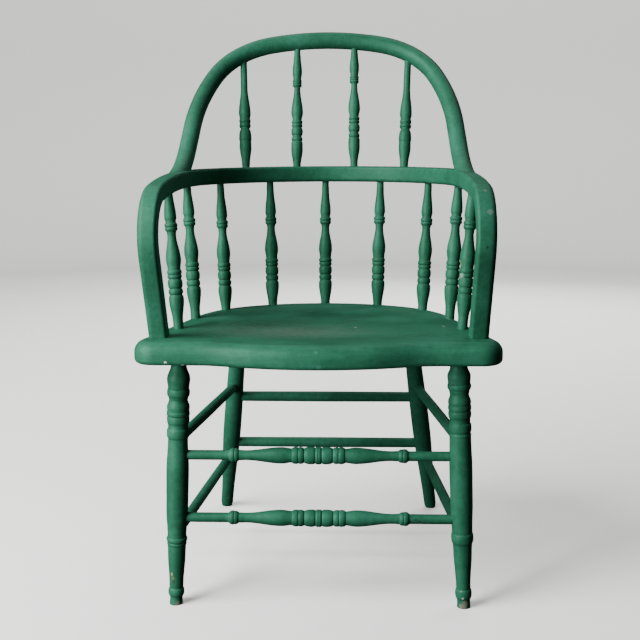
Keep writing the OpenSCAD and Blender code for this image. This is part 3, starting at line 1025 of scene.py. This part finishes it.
@dataclass
class SeatPlank:
    """The saddled plank, with a soft roll over its top edge."""

    width: float = 533.0
    depth: float = 409.0
    thick: float = 34.0
    back_share: float = 0.516
    shoulder_share: float = 0.319
    taper: float = 14.5
    corner_r: float = 32.0
    front_r: float = 400.0
    reverse_r: float = 150.0
    bow: float = 30.0
    top_roll: float = 18.0
    under_roll: float = 7.0
    dish_depth: float = 7.0
    dish_y: float = 205.0
    dish_share: float = 0.86
    dish_power: float = 1.5
    dish_rings: int = 14
    rim_shares: tuple[float, ...] = (0.97, 0.94, 0.91)
    back_steps: int = 10
    shoulder_steps: int = 14
    side_steps: int = 8
    corner_steps: int = 12
    wing_steps: int = 4
    reverse_steps: int = 8
    front_steps: int = 16
    top_roll_steps: int = 8
    under_roll_steps: int = 4
    layout: Layout = Layout()

    def outline_half(self) -> None:
        """Draw the right half of the outline, in edit mode, from back middle to front middle.

        The back, the shoulder, the straight side, the corner, the straight wing, the
        reverse curve and the bowed front follow each other, and each meets the next
        smoothly. The first vertex is already there and selected.
        """
        y0 = self.layout.front_y
        taper = math.radians(self.taper)
        back_r, shoulder_r = self.width * self.back_share, self.width * self.shoulder_share
        corner_x = self.width / 2 - self.corner_r
        corner_y = self.bow + self.corner_r
        side = corner_x * math.cos(taper) + corner_y * math.sin(taper) + self.corner_r
        back_y = self.depth - back_r
        gap = back_r - shoulder_r
        shoulder = math.asin((side - shoulder_r - back_y * math.sin(taper)) / gap) - taper
        shoulder_x = gap * math.sin(shoulder)
        shoulder_y = back_y + gap * math.cos(shoulder)
        reach = self.front_r + self.reverse_r
        front = math.acos((reach - self.bow) / reach)
        reverse_x = reach * math.sin(front)
        up = Vector((0, 0, 1))
        top = self.layout.seat_top

        def turn(steps: int, angle: float, x: float, y: float) -> None:
            """Swing clockwise, seen from above, round a centre given in millimetres."""
            Bench.swing(steps, -angle, Vector((x, y0 + y, top)) * MM, up)

        turn(self.back_steps, shoulder, 0.0, back_y)
        turn(self.shoulder_steps, math.pi / 2 - taper - shoulder, shoulder_x, shoulder_y)
        along = Vector(
            (
                corner_x - shoulder_x + (self.corner_r - shoulder_r) * math.cos(taper),
                corner_y - shoulder_y + (self.corner_r - shoulder_r) * math.sin(taper),
                0,
            )
        )
        for _ in range(self.side_steps):
            Bench.pull(along * MM / self.side_steps)
        turn(self.corner_steps, math.pi / 2 + taper, corner_x, corner_y)
        for _ in range(self.wing_steps):
            Bench.pull(Vector((reverse_x - corner_x, 0, 0)) * MM / self.wing_steps)
        turn(self.reverse_steps, -front, reverse_x, self.bow - self.reverse_r)
        turn(self.front_steps, front, 0.0, self.front_r)

    def make(self) -> bpy.types.Object:
        """Saw, roll and saddle the plank.

        Returns:
            The finished mesh object.
        """
        lay = self.layout
        top = lay.seat_top * MM
        under = top - self.thick * MM
        back = Vector((0, lay.front_y + self.depth, lay.seat_top)) * MM
        obj = Bench.point("seat_plank", back)
        self.outline_half()
        Bench.mirror(obj)
        Bench.edit()
        bpy.ops.mesh.remove_doubles(threshold=HAIR)
        bpy.ops.mesh.edge_face_add()
        Bench.pull(Vector((0, 0, under - top)))
        for test, roll, steps in (
            (lambda co: co.z > top - HAIR, self.top_roll, self.top_roll_steps),
            (lambda co: co.z < under + HAIR, self.under_roll, self.under_roll_steps),
        ):
            Bench.pick(obj, Part.EDGES, test)
            bpy.ops.mesh.bevel(offset=roll * MM, segments=steps, affect="EDGES")
        self.saddle(obj)
        Bench.clean(obj, smooth_deg=45.0)
        return obj

    def saddle(self, obj: bpy.types.Object) -> None:
        """Hollow the top in rings that shrink towards the middle.

        Args:
            obj: the plank, in edit mode.
        """
        lay = self.layout
        top = lay.seat_top * MM
        Bench.pick(obj, Part.FACES, lambda co: co.z > top - HAIR)
        center = Vector((0, lay.front_y + self.dish_y, lay.seat_top)) * MM
        inner = [self.dish_share * n / self.dish_rings for n in range(self.dish_rings, 0, -1)]
        last_share, last_drop = 1.0, 0.0
        for share in (*self.rim_shares, *inner):
            t = min(1.0, share / self.dish_share)
            drop = self.dish_depth * (1 - t * t) ** self.dish_power
            Bench.pull(Vector((0, 0, (last_drop - drop) * MM)))
            k = share / last_share
            bpy.ops.transform.resize(value=(k, k, 1), center_override=tuple(center))
            last_share, last_drop = share, drop
        bpy.ops.mesh.merge(type="CENTER")


@dataclass
class ArmRail:
    """The bent bar that is back rail, both arms and both posts."""

    wide: float = 28.0
    high: float = 26.5
    inner_top_r: float = 4.5
    inner_under_r: float = 6.5
    outer_top_r: float = 9.0
    outer_under_r: float = 10.0
    corner_steps: int = 7
    layout: Layout = Layout()

    def make(self) -> bpy.types.Object:
        """Bend the rail.

        Returns:
            The finished mesh object.
        """
        line = self.layout.rail_line()
        Bench.clear()
        bpy.ops.mesh.primitive_plane_add(size=1.0)
        obj = bpy.context.active_object
        obj.name = obj.data.name = "arm_rail_bent"
        obj.scale = (self.wide * MM, self.high * MM, 1)
        Bench.bake()
        Bench.edit()
        x, y = self.wide / 2 * MM, self.high / 2 * MM
        for corner, radius in (
            (Vector((x, -y, 0)), self.inner_top_r),
            (Vector((x, y, 0)), self.inner_under_r),
            (Vector((-x, -y, 0)), self.outer_top_r),
            (Vector((-x, y, 0)), self.outer_under_r),
        ):
            Bench.pick(obj, Part.POINTS, lambda co, spot=corner: (co - spot).length < HAIR)
            bpy.ops.mesh.bevel(
                offset=radius * MM, segments=self.corner_steps, affect="VERTICES"
            )
        bpy.ops.object.mode_set(mode="OBJECT")
        obj.matrix_world = line.start
        Bench.bake()
        Bench.edit()
        bpy.ops.mesh.delete(type="ONLY_FACE")
        bpy.ops.mesh.select_all(action="SELECT")
        bend_bar(line)
        Bench.mirror(obj)
        Bench.clean(obj)
        return obj


@dataclass
class BackBow:
    """The bent round bar that leans back over the arms, its feet let into their tops."""

    wide: float = 28.7
    sides: int = 40
    scarf_z: float = 639.0
    layout: Layout = Layout()

    def make(self) -> bpy.types.Object:
        """Bend the bow.

        Returns:
            The finished mesh object.
        """
        line = self.layout.bow_line()
        Bench.clear()
        bpy.ops.mesh.primitive_circle_add(vertices=self.sides, radius=self.wide / 2 * MM)
        obj = bpy.context.active_object
        obj.name = obj.data.name = "back_bow_bent"
        obj.matrix_world = line.start
        Bench.bake()
        Bench.edit()
        bend_bar(line)
        Bench.cut_level(self.scarf_z)
        Bench.mirror(obj)
        Bench.clean(obj)
        return obj


@dataclass
class Spindles:
    """The nine turned spindles under the rail and the four under the bow.

    Gaps run along the bars' centre lines. ``lower_raise`` and ``upper_raise`` lift each
    spindle's beads, from left to right. ``lower_turn`` and ``upper_turn`` turn each on
    about its own axis by that many degrees.
    """

    seat_gap: float = 93.5
    rail_gap: float = 98.5
    inner_gap: float = 50.0
    outer_rail: float = 143.0
    outer_bow: float = 149.0
    rail_high: float = 26.5
    lower_foot: float = 15.6
    upper_foot: float = 13.0
    lower_tenons: tuple[float, float] = (22.0, 8.0)
    upper_tenons: tuple[float, float] = (9.0, 10.0)
    lower_turn: float = 37.0
    upper_turn: float = 29.0
    layout: Layout = Layout()
    lower_rings: tuple[Ring, ...] = (
        Ring(34, 23.2), Ring(6.4, 20, full=True), Ring(1.2, 19),
        Ring(8.8, 19.2, 3.2), Ring(0.8, 18.6), Ring(14, 19, 4), Ring(0.8, 18.6),
        Ring(6.2, 19.4, 3.1), Ring(7, 19.6, 3.2), Ring(1.6, 19.8), Ring(14.2, 23.2),
        Ring(37.4, 13.5), Ring(4.6, 14.6), Ring(2, 17), Ring(5.4, 17.2, 2.6),
        Ring(6.2, 16, 3.4), Ring(1.8, 16.2), Ring(6.4, 18.7), Ring(38, 12.6), Ring(12.6, 11.8),
    )
    upper_rings: tuple[Ring, ...] = (
        Ring(30, 20.3), Ring(10, 20.1), Ring(4.5, 16.8, full=True), Ring(0.6, 16.4),
        Ring(6.4, 16.8, 2.8), Ring(2, 16.4), Ring(1.5, 16.4), Ring(13.5, 16, 4), Ring(1, 15.8),
        Ring(5.5, 16.4, 2.9), Ring(0.6, 16.2), Ring(5.4, 16.4, 2.9), Ring(2.5, 16.6),
        Ring(10.5, 20.7), Ring(44.5, 10.7), Ring(2.5, 13.4), Ring(4, 14, 2.4), Ring(0.4, 13.8),
        Ring(3.2, 14, 2.1), Ring(0.4, 14), Ring(3.5, 14.3, 2.1), Ring(2.5, 14.3),
        Ring(10, 16.7), Ring(5, 16.6), Ring(22, 12.4), Ring(8.5, 10.9),
    )
    short_rings: tuple[Ring, ...] = (
        Ring(4, 14), Ring(32, 20.8), Ring(8, 20.3), Ring(1, 19.8), Ring(19, 17.4, 2.6),
        Ring(3.5, 15.4), Ring(1.5, 16.4), Ring(6.5, 17, 3.2), Ring(1, 16.8), Ring(7, 17.6, 2.6),
        Ring(1.5, 17.8), Ring(8, 20.6), Ring(47, 12), Ring(39, 11.6),
    )
    lower_raise: tuple[float, ...] = (10.0, 10.0, -1.0, 0.0, -1.5, 1.0, 2.5, 12.0, 12.0)
    upper_raise: tuple[float, ...] = (1.0, -1.0, 5.0, -1.5)

    def lower(self, dresser: Dresser) -> None:
        """Turn one lower spindle, and stand nine copies of it on the seat.

        Args:
            dresser: finishes each one.
        """
        seat, rail = self.layout.spindle_line(), self.layout.rail_line()
        middle = (len(self.lower_raise) + 1) // 2
        pattern = Turning(
            "lower_spindle_pattern", self.lower_foot, self.lower_rings, *self.lower_tenons
        ).make()
        for i, lift in enumerate(self.lower_raise, 1):
            foot = seat.point((i - middle) * self.seat_gap)
            head = rail.point((i - middle) * self.rail_gap)
            obj = Bench.copy(pattern, f"lower_spindle_{i}_turned")
            low = foot + (head - foot).normalized() * lift * MM
            Bench.stand(obj, low, head, self.lower_turn * i)
            dresser.dress(obj, Slot.TURNED, f"lower_spindle_{i}")
        Bench.scrap(pattern)

    def upper(self, dresser: Dresser) -> None:
        """Turn an inner and an outer upper spindle, and stand two copies of each.

        Args:
            dresser: finishes each one.
        """
        rail, bow = self.layout.rail_line(), self.layout.bow_line()
        for rings, rail_s, bow_s, places in (
            (self.upper_rings, self.inner_gap, self.inner_gap, (2, 3)),
            (self.short_rings, self.outer_rail, self.outer_bow, (1, 4)),
        ):
            pattern = Turning(
                "upper_spindle_pattern", self.upper_foot, rings, *self.upper_tenons
            ).make()
            for side, i in zip(Side, places):
                a, b = rail.point(side.value * rail_s), bow.point(side.value * bow_s)
                run = (b - a).length / MM
                hidden = self.rail_high / 2 * run / ((b.z - a.z) / MM)
                low = a + (b - a) * (hidden + self.upper_raise[i - 1]) / run
                obj = Bench.copy(pattern, f"upper_spindle_{i}_turned")
                Bench.stand(obj, low, b, self.upper_turn * i)
                dresser.dress(obj, Slot.TURNED, f"upper_spindle_{i}")
            Bench.scrap(pattern)


@dataclass
class Undercarriage:
    """The four legs and the eight stretchers that tie them."""

    front_heights: tuple[float, float] = (234.0, 137.0)
    rear_heights: tuple[float, float] = (245.0, 147.0)
    side_upper: tuple[float, float] = (257.0, 267.0)
    side_lower: tuple[float, float] = (113.0, 116.0)
    front_rod: float = 14.8
    rear_rod: float = 18.0
    side_rod: float = 16.0
    rod_end: float = 60.0
    rod_middle: float = 100.0
    rod_thinner: float = 0.4
    rod_fuller: float = 0.5
    rod_sides: int = 28
    tenon_inset: float = 6.0
    front_tenons: tuple[float, float] = (10.0, 2.0)
    rear_tenons: tuple[float, float] = (10.0, 12.0)
    rear_top: float = 26.0
    foot_z: float = 0.1
    layout: Layout = Layout()
    left_leg_rings: tuple[Ring, ...] = (
        Ring(8, 23), Ring(21, 34.6), Ring(13, 31.7), Ring(1.6, 30.7),
        Ring(11.8, 30.1, 3.6), Ring(5, 27.9), Ring(10.9, 34.1), Ring(6.4, 32.9),
        Ring(6.4, 32.9, 1.7), Ring(1.4, 32.3), Ring(10, 31.7, 1.7), Ring(3, 30.1),
        Ring(4.6, 30.1), Ring(1, 30.9), Ring(13.9, 30.7, 3), Ring(1.6, 29.9),
        Ring(50, 33.9), Ring(60, 32.9), Ring(42, 28.5),
        Ring(7.6, 28.1, 3.3), Ring(0.8, 28), Ring(4.2, 27.8, 1.8), Ring(3.6, 27.6),
        Ring(9, 27), Ring(50, 21.6), Ring(5.4, 20.1), Ring(13, 19.9, 4.6), Ring(5, 19.3),
        Ring(8.1, 20.3),
    )
    right_leg_rings: tuple[Ring, ...] = (
        Ring(9, 25.5), Ring(14, 34.6), Ring(10, 33.1), Ring(1.2, 32.3),
        Ring(9, 30.9, 3.4), Ring(7.2, 28.1), Ring(11, 34.1), Ring(5, 32.7),
        Ring(7.4, 32.7, 1.6), Ring(1.6, 32.5), Ring(9.6, 31.7, 1.9), Ring(3, 30.3),
        Ring(4.4, 30.3), Ring(1, 31.1), Ring(13, 31.5, 2.6), Ring(2, 31.1),
        Ring(4.6, 31.9, 1.4), Ring(1.4, 32.1), Ring(50, 34.3), Ring(50, 33.5),
        Ring(42, 30.9), Ring(5, 30.5),
        Ring(15.6, 29.9, 3.2), Ring(2.6, 28.9), Ring(9.4, 27.9), Ring(57, 21.9),
        Ring(3, 21.1), Ring(16, 20.5, 4.4), Ring(5.4, 19.9), Ring(8, 20.5),
    )
    rear_leg_rings: tuple[Ring, ...] = (
        Ring(218, 31.8), Ring(190, 22.6), Ring(7, 20.4), Ring(3, 19.2),
    )
    middle_bead: float = 25.2
    stretcher_rings: tuple[Ring, ...] = (
        Ring(4.8, 22.6, 2.4), Ring(16.5, 20.6, 4.4), Ring(8.5, 23, 3.2),
        Ring(9.6, 21.2, 3.2), Ring(15, 24.6), Ring(54, 14.9), Ring(10, 15.6),
        Ring(6.5, 19, 2.6), Ring(7.5, 16.2, 3.4), Ring(2, 14.8),
    )

    def leg(self, obj: bpy.types.Object, front: bool, side: Side, made: float) -> None:
        """Stand one leg under the seat and cut its foot level with the floor.

        Args:
            obj: the turned leg, top end first.
            front: whether it is a front leg.
            side: which side it stands on.
            made: the length that its turned part was made to, in millimetres.
        """
        foot = self.layout.leg_point(front, side, 0.0)
        top = self.layout.leg_point(front, side, self.layout.seat_under)
        Bench.stand(obj, top, foot, 0.0, (top - foot).length / MM / made)
        bpy.ops.object.mode_set(mode="EDIT")
        Bench.cut_level(self.foot_z)
        Bench.clean(obj)

    def legs(self, dresser: Dresser) -> None:
        """Turn the legs: each front one by its own beads, and the rear pair from one.

        Args:
            dresser: finishes each one.
        """
        for side, rings in zip(Side, (self.left_leg_rings, self.right_leg_rings)):
            name = f"front_leg_{side.name.lower()}"
            turning = Turning(f"{name}_turned", rings[0].width, rings, *self.front_tenons)
            obj = turning.make()
            self.leg(obj, True, side, turning.length)
            dresser.dress(obj, Slot.TURNED, name)
        turning = Turning(
            "rear_leg_pattern", self.rear_top, self.rear_leg_rings, *self.rear_tenons
        )
        pattern = turning.make()
        for side in Side:
            name = f"rear_leg_{side.name.lower()}"
            obj = Bench.copy(pattern, f"{name}_turned")
            self.leg(obj, False, side, turning.length)
            dresser.dress(obj, Slot.TURNED, name)
        Bench.scrap(pattern)

    def tie(self, turning: Turning, how: str, ties: Ties, dresser: Dresser) -> None:
        """Turn one stretcher, and fit copies of it between the legs.

        Args:
            turning: the stretcher.
            how: the last word of each copy's name.
            ties: each CAD node that one stands for, and its two ends on the legs' lines.
            dresser: finishes each one.
        """
        pattern = turning.make()
        for name, (a, b) in ties.items():
            run = (b - a).length / MM - 2 * self.tenon_inset
            obj = Bench.copy(pattern, f"{name}_{how}")
            low = a + (b - a).normalized() * self.tenon_inset * MM
            Bench.stand(obj, low, b, 0.0, run / turning.length)
            dresser.dress(obj, Slot.TURNED, name)
        Bench.scrap(pattern)

    def rod(self, wide: float) -> Turning:
        """A plain rod, a little fuller in its middle than at its ends, as planed ones are.

        Args:
            wide: the diameter.

        Returns:
            The rod, ready to be turned.
        """
        thin = wide - self.rod_thinner
        rings = (
            Ring(self.rod_end, wide),
            Ring(self.rod_middle, wide + self.rod_fuller),
            Ring(self.rod_middle, wide),
            Ring(self.rod_end, thin),
        )
        return Turning("rod_pattern", thin, rings, sides=self.rod_sides)

    def front_stretcher(self, run: float) -> Turning:
        """A front stretcher, alike on both sides of its middle bead.

        Args:
            run: its length in millimetres, which its two plain ends make up.

        Returns:
            The stretcher, ready to be turned.
        """
        half = self.stretcher_rings
        plain = Ring(run / 2 - sum(r.length for r in half), self.front_rod)
        widths = [self.middle_bead] + [r.width for r in half]
        back = tuple(Ring(r.length, wide, r.bead) for r, wide in zip(half, widths))[::-1]
        return Turning(
            "front_stretcher_pattern", self.front_rod, (plain,) + back + half + (plain,)
        )

    def make(self, dresser: Dresser) -> None:
        """Make all legs and stretchers.

        Args:
            dresser: finishes each one.
        """
        self.legs(dresser)
        leg = self.layout.leg_point
        fronts, rears = (
            {
                f"{place}_stretcher_{level}": tuple(leg(front, side, z) for side in Side)
                for level, z in zip(("upper", "lower"), heights)
            }
            for place, front, heights in (
                ("front", True, self.front_heights),
                ("rear", False, self.rear_heights),
            )
        )
        sides = {
            f"side_stretcher_{level}_{side.name.lower()}": (
                leg(True, side, ends[0]),
                leg(False, side, ends[1]),
            )
            for side in Side
            for level, ends in (("upper", self.side_upper), ("lower", self.side_lower))
        }
        a, b = fronts["front_stretcher_upper"]
        run = (b - a).length / MM - 2 * self.tenon_inset
        self.tie(self.front_stretcher(run), "turned", fronts, dresser)
        self.tie(self.rod(self.side_rod), "planed", sides, dresser)
        self.tie(self.rod(self.rear_rod), "planed", rears, dresser)


# Studio


@dataclass(frozen=True)
class PhotoCamera:
    """The camera that took the photo, fitted to the chair's feet, seat, arms and crown."""

    place: tuple[float, float, float] = (0.0646, -1.7211, 0.7097)
    yaw_deg: float = 2.289
    pitch_deg: float = -10.004
    roll_deg: float = -0.290
    lens: float = 60.47
    sensor: float = 36.0
    sight: float = 40.0

    def make(self) -> None:
        """Place the camera and make it the scene's."""
        data = bpy.data.cameras.new("photo_camera")
        data.lens = self.lens
        data.sensor_width = self.sensor
        data.clip_end = self.sight
        obj = bpy.data.objects.new("photo_camera", data)
        bpy.context.scene.collection.objects.link(obj)
        obj.matrix_world = (
            Matrix.Translation(self.place)
            @ Matrix.Rotation(math.radians(self.yaw_deg), 4, "Z")
            @ Matrix.Rotation(math.radians(90 + self.pitch_deg), 4, "X")
            @ Matrix.Rotation(math.radians(self.roll_deg), 4, "Z")
        )
        bpy.context.scene.camera = obj


@dataclass(frozen=True)
class Softbox:
    """One rectangular soft light that looks at its ``aim``."""

    name: str
    place: tuple[float, float, float]
    size: tuple[float, float]
    watts: float
    tint: str = "#ffffff"
    aim: tuple[float, float, float] = (0.0, 0.0, 0.45)
    shine: bool = True

    def make(self) -> None:
        """Place the light. It doesn't show itself, and ``shine`` lets it make highlights."""
        data = bpy.data.lights.new(self.name, "AREA")
        data.shape = "RECTANGLE"
        data.size, data.size_y = self.size
        data.energy = self.watts
        data.color = linear(self.tint)[:3]
        obj = bpy.data.objects.new(self.name, data)
        bpy.context.scene.collection.objects.link(obj)
        obj.visible_camera = False
        obj.visible_glossy = self.shine
        obj.location = self.place
        way = Vector(self.aim) - Vector(self.place)
        obj.rotation_euler = way.to_track_quat("-Z", "Y").to_euler()


@dataclass
class Studio:
    """A round sheet of white paper swept up to a wall, and the lights, in metres.

    The paper shows to the camera and takes shadows, but puts no light on the chair.
    """

    lights: tuple[Softbox, ...] = (
        Softbox("key_left", (-2.05, -1.32, 2.25), (1.7, 1.5), 190.0, "#fbfdff"),
        Softbox("low_left", (-1.5, -1.5, 0.62), (0.8, 0.8), 54.0),
        Softbox("paper_wash", (0.0, 1.5, 3.0), (4.0, 0.8), 120.0, aim=(0.0, 3.6, 0.9)),
        Softbox("back_right", (2.4, 1.9, 2.2), (1.4, 1.4), 24.0, shine=False),
        Softbox("back_low", (0.6, 3.1, 1.3), (1.6, 1.0), 32.0, shine=False),
    )
    floor_r: float = 4.0
    cove_r: float = 1.2
    wall_h: float = 2.4
    round_steps: int = 96
    cove_steps: int = 16
    air: str = "#ffffff"
    air_strength: float = 0.05

    def make(self) -> None:
        """Roll out the paper, and set the lights and the air."""
        Bench.clear()
        bpy.ops.mesh.primitive_circle_add(
            vertices=self.round_steps, radius=self.floor_r, fill_type="TRIFAN"
        )
        sheet = bpy.context.active_object
        sheet.name = sheet.data.name = "studio_paper"
        bpy.ops.object.mode_set(mode="EDIT")
        Bench.pick(sheet, Part.POINTS, lambda co: co.length > self.floor_r / 2)
        last_r, last_z = self.floor_r, 0.0
        for n in range(1, self.cove_steps + 1):
            angle = math.pi / 2 * n / self.cove_steps
            r = self.floor_r + self.cove_r * math.sin(angle)
            z = self.cove_r * (1 - math.cos(angle))
            Bench.pull(Vector((0, 0, z - last_z)))
            k = r / last_r
            bpy.ops.transform.resize(value=(k, k, 1), center_override=(0, 0, 0))
            last_r, last_z = r, z
        Bench.pull(Vector((0, 0, self.wall_h)))
        bpy.ops.object.mode_set(mode="OBJECT")
        bpy.ops.object.shade_smooth()
        sheet.data.materials.append(StudioPaper().build())
        sheet.visible_glossy = False
        sheet.visible_diffuse = False
        for light in self.lights:
            light.make()
        world = bpy.data.worlds.new("studio_air")
        world.use_nodes = True
        back = world.node_tree.nodes["Background"]
        back.inputs["Color"].default_value = linear(self.air)
        back.inputs["Strength"].default_value = self.air_strength
        bpy.context.scene.world = world


# Main


def main() -> None:
    """Build the armchair, its finishes and its studio."""
    logging.basicConfig(level=logging.INFO, format="%(name)s %(message)s")
    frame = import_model()
    Bench.clear()
    PhotoCamera().make()
    seat_paint = OldPaint("green_paint_on_elm_plank", (90.0, 4.0, 4.0), SEAT_MARKS, worn=0.42)
    bent_paint = OldPaint("green_paint_on_bent_ash", (6.0, 6.0, 6.0), BENT_MARKS)
    turned_paint = OldPaint("green_paint_on_turned_beech", (5.0, 5.0, 12.0), TURNED_MARKS)
    dresser = Dresser(
        {
            Slot.SEAT: seat_paint.build(),
            Slot.BENT: bent_paint.build(),
            Slot.TURNED: turned_paint.build(),
            Slot.SCREW: ScrewSteel().build(),
        }
    )
    dresser.dress(SeatPlank().make(), Slot.SEAT, "seat")
    dresser.dress(ArmRail().make(), Slot.BENT, "arm_rail")
    dresser.dress(BackBow().make(), Slot.BENT, "back_bow")
    spindles = Spindles()
    spindles.lower(dresser)
    spindles.upper(dresser)
    Undercarriage().make(dresser)
    dresser.coat(frame["nodes"]["scarf_screws"], Slot.SCREW)
    Studio().make()


if __name__ == "__main__":
    main()
